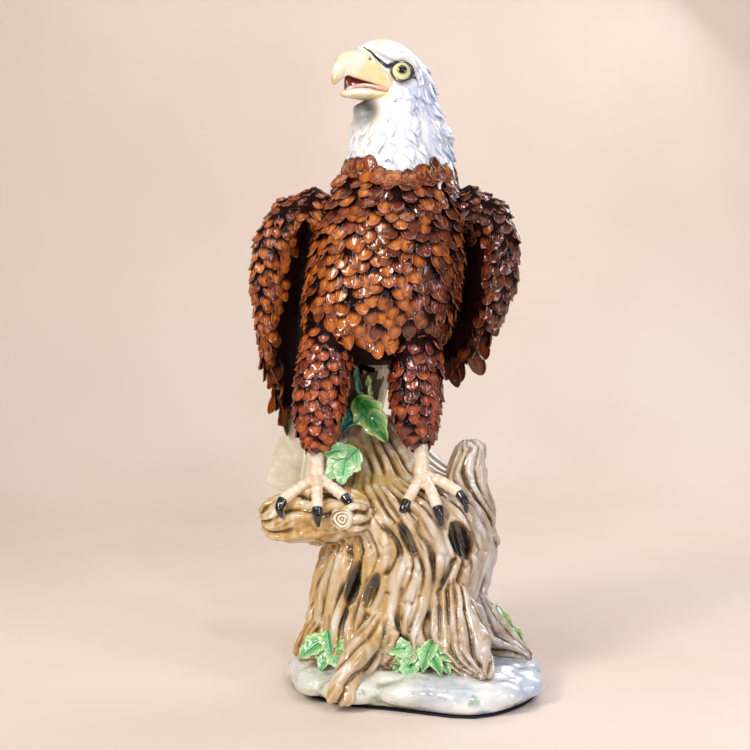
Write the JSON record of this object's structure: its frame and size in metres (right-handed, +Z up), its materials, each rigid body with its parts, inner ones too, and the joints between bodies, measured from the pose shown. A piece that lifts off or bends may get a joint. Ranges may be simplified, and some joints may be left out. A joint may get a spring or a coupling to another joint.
{
  "type": "bird figurine",
  "caption": "Glossy painted figurine of an eagle with its head turned and beak open, standing on a gnarled tree stump with leaves on a low uneven base.",
  "frame": {"origin": "on the flat underside of the felt, below the middle of the stump", "axes": "+Z up, the bird's chest faces -Y, +X is towards the bird's own left wing"},
  "size_m": [0.1796, 0.156, 0.3971],
  "materials": {
    "felt": "dark felt",
    "ground_glaze": "pale grey-green paint under clear gloss on cast resin",
    "bark_glaze": "pale and ochre paint with dark washes in the grooves, clear gloss, cast resin",
    "brown_plumage": "amber and red-brown paint with dark washes, high gloss, cast resin",
    "white_plumage": "white paint with faint blue-grey shading, high gloss, cast resin",
    "beak_horn": "pale yellow paint, high gloss, cast resin",
    "mouth_pink": "pink-red paint, high gloss, cast resin",
    "eye_gloss": "pale yellow-green iris with a black pupil, wet gloss",
    "foot_skin": "cream paint with black claws, gloss, cast resin",
    "leaf_glaze": "greens and teal paint, high gloss, cast resin",
    "rod_steel": "drawn steel wire",
    "peg_wood": "bare dowel"
  },
  "bodies": {
    "root": {"felt_sheet": "felt", "ground_base": "ground_glaze", "trunk": "bark_glaze", "perch_branch": "bark_glaze", "stub_branch": "bark_glaze", "knot_stub": "bark_glaze", "root_front_right": "bark_glaze", "root_front_left": "bark_glaze", "root_left": "bark_glaze", "root_right": "bark_glaze", "root_back": "bark_glaze", "torso": "brown_plumage", "thigh_left": "brown_plumage", "thigh_right": "brown_plumage", "wing_left": "brown_plumage", "wing_right": "brown_plumage", "tail": "white_plumage", "head_and_neck": "white_plumage", "beak_upper": "beak_horn", "beak_lower": "beak_horn", "tongue": "mouth_pink", "eye_left": "eye_gloss", "eye_right": "eye_gloss", "foot_left": "foot_skin", "foot_right": "foot_skin", "leg_rod_left": "rod_steel", "leg_rod_right": "rod_steel", "neck_peg": "peg_wood", "wing_peg_left": "peg_wood", "wing_peg_right": "peg_wood", "leaf_crest_front": "leaf_glaze", "leaf_crest_low": "leaf_glaze", "leaf_crest_teal": "leaf_glaze", "leaf_crest_tall": "leaf_glaze", "leaf_crest_bud": "leaf_glaze", "leaf_ground_left": "leaf_glaze", "leaf_ground_middle": "leaf_glaze", "leaf_ground_front": "leaf_glaze", "leaf_ground_right": "leaf_glaze"}
  },
  "joints": []
}
